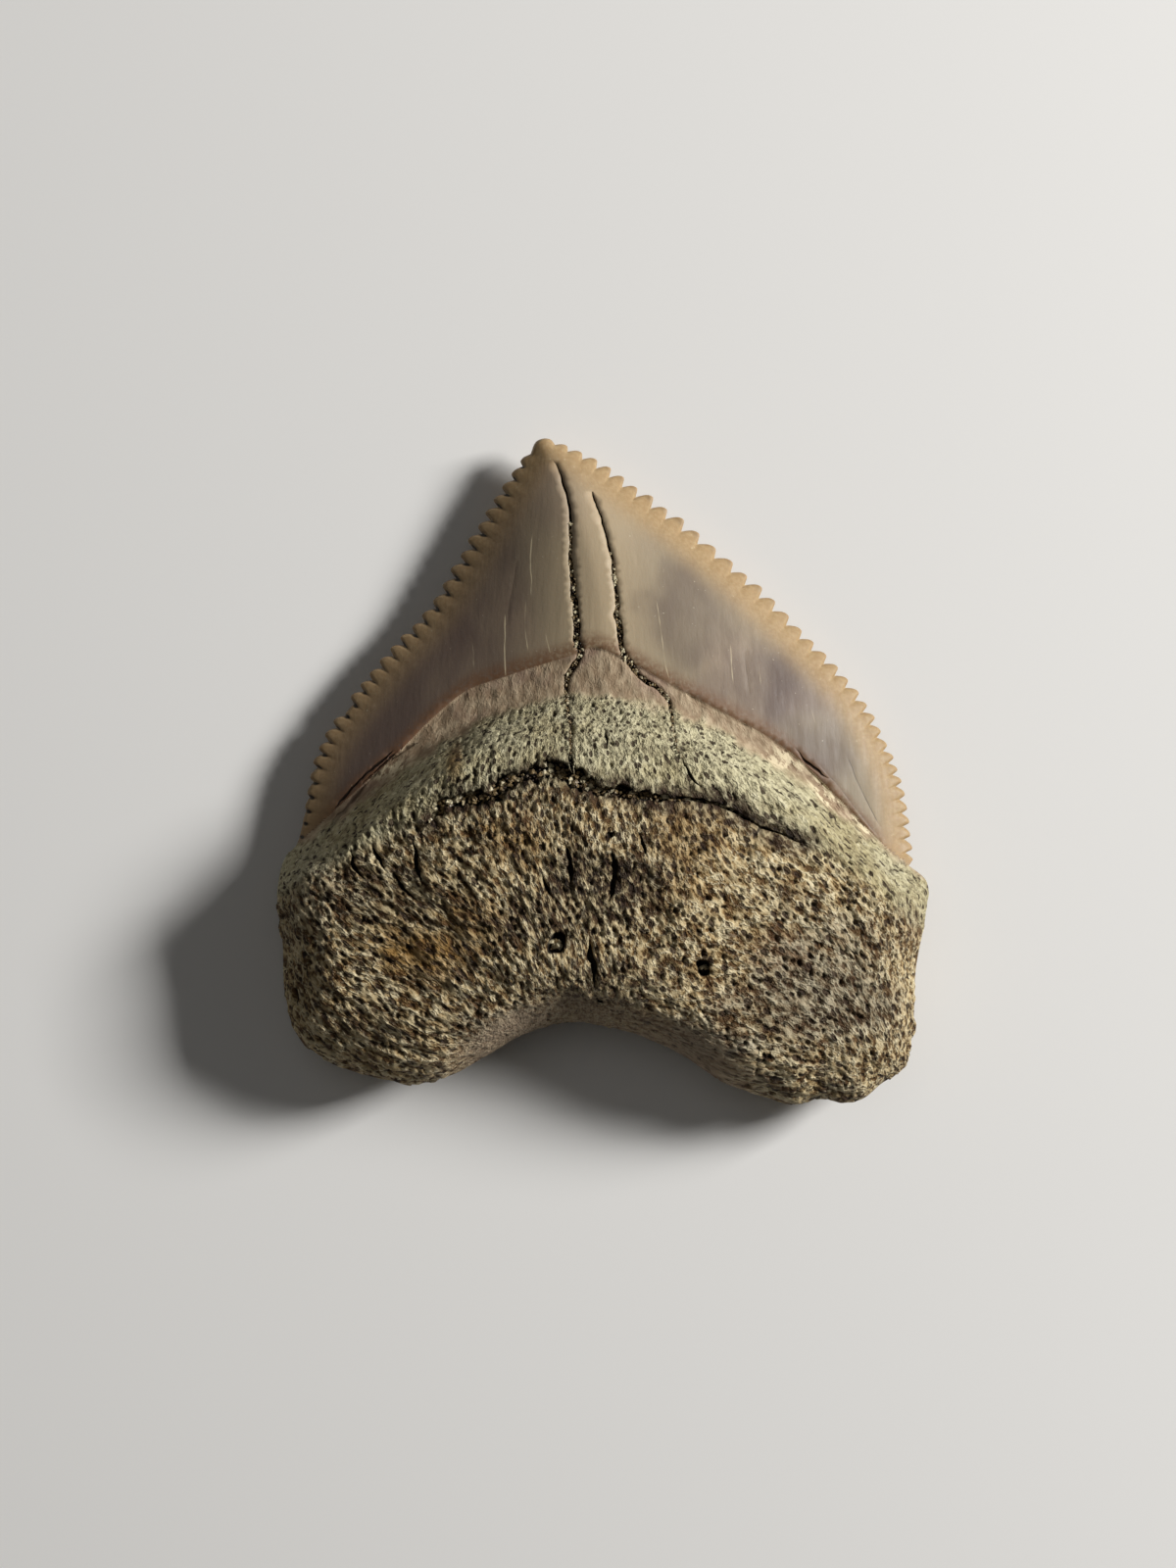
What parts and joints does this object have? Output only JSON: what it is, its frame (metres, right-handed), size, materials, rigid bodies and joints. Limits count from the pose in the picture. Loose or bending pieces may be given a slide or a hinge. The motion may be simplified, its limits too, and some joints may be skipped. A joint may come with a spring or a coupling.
{
  "type": "fossil shark tooth",
  "caption": "Fossil crow shark tooth: a triangular crown with serrated cutting edges on a thick, porous, forked root, lying on its flat labial face.",
  "frame": {"origin": "on the resting plane, under the middle of the tooth's outline", "axes": "+X across the tooth, +Y from the forked root to the tip, +Z out of the domed lingual face"},
  "size_m": [0.0264, 0.027, 0.0066],
  "materials": {
    "tooth": "mineralised enamel, satin on the crown, and matt porous bone on the root"
  },
  "bodies": {
    "root": {"tooth": "tooth"}
  },
  "joints": []
}
